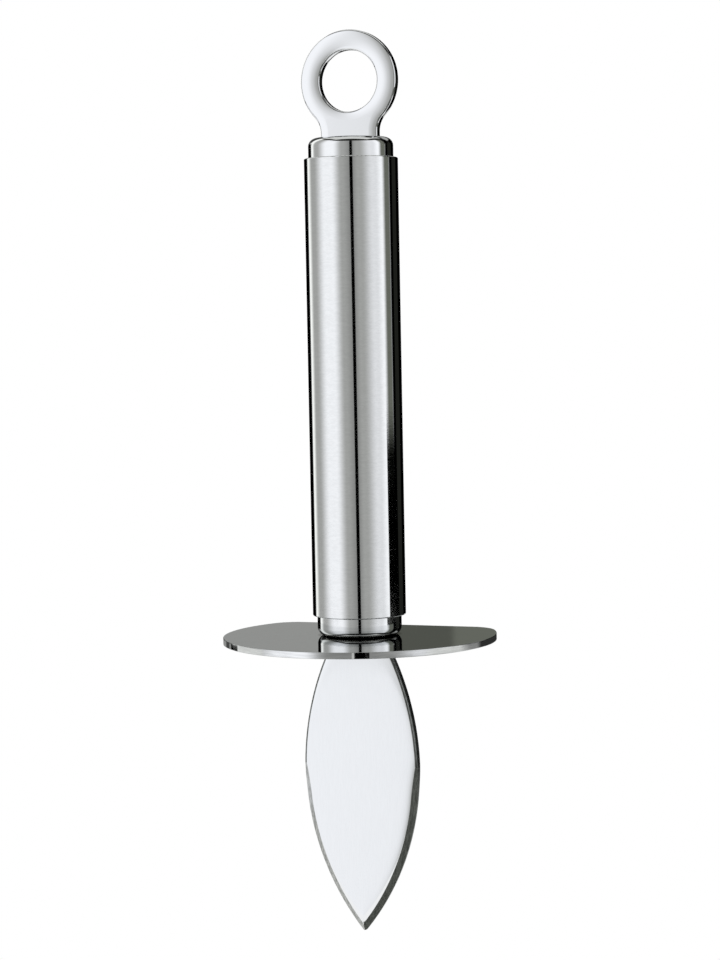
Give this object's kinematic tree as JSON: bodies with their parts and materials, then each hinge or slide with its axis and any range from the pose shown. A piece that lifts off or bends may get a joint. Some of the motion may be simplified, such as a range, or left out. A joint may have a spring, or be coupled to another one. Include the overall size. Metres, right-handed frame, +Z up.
{
  "type": "oyster knife",
  "caption": "All-steel oyster knife: blunt leaf blade with ground edges, round hand guard with one straight side, capped tube handle and a ring to hang it by.",
  "frame": {"origin": "centre of the hanging hole, midway through the ring's thickness", "axes": "+Z up along the handle from blade tip to ring, +X across the blade's width, -Y towards the viewer in front of the blade's face; +Y is the side with the guard's straight edge"},
  "size_m": [0.0588, 0.0469, 0.1934],
  "materials": {
    "polished_steel": "mirror polished stainless steel",
    "tube_steel": "bright polished stainless tube with a faint lengthwise grain",
    "blade_steel": "fine satin faces with ground bevels",
    "weld_metal": "as welded, brushed clean",
    "braze_metal": "as brazed"
  },
  "bodies": {
    "root": {"hanging_ring": "polished_steel", "upper_end_cap": "polished_steel", "handle_tube": "tube_steel", "lower_end_cap": "polished_steel", "guard_plate": "polished_steel", "blade": "blade_steel", "ring_weld": "weld_metal", "tang_weld": "weld_metal", "root_weld": "weld_metal", "upper_seam_braze": "braze_metal", "lower_seam_braze": "braze_metal"}
  },
  "joints": []
}
